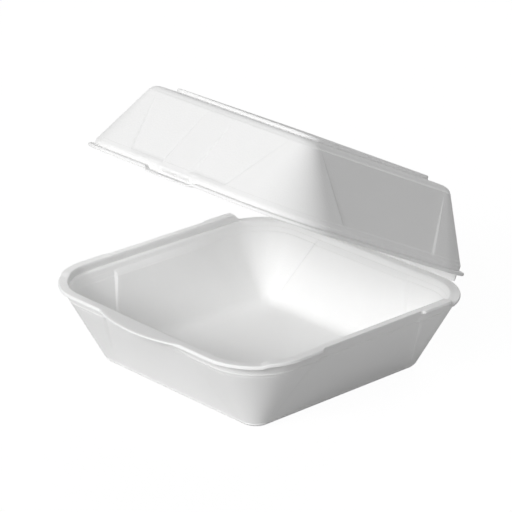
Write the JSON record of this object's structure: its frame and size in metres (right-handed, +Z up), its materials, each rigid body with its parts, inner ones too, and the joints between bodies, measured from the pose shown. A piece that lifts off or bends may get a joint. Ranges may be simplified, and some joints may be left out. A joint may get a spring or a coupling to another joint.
{
  "type": "foam burger box",
  "caption": "Hinged take-away burger box pressed from white foam: tapered tray with panelled walls and a front lip, and a tapered lid with a tab that swings on the back edge.",
  "frame": {"origin": "middle of the tray's flat underside, at the level of the table", "axes": "+Z up, +Y towards the hinge at the back, -Y towards the front lip and tab, +X to the right seen from the front"},
  "size_m": [0.14, 0.1445, 0.1195],
  "materials": {
    "foam": "matte white pressed foam skin with a faint bead texture"
  },
  "bodies": {
    "tray": {"base_tray": "foam"},
    "lid": {"lid": "foam"}
  },
  "joints": [
    {"name": "lid_hinge", "type": "hinge", "parent": "tray", "child": "lid", "pos_m": [0, 0.06755, 0.0344], "axis": [-1, 0, 0], "range_deg": [-26.7, 138]}
  ]
}
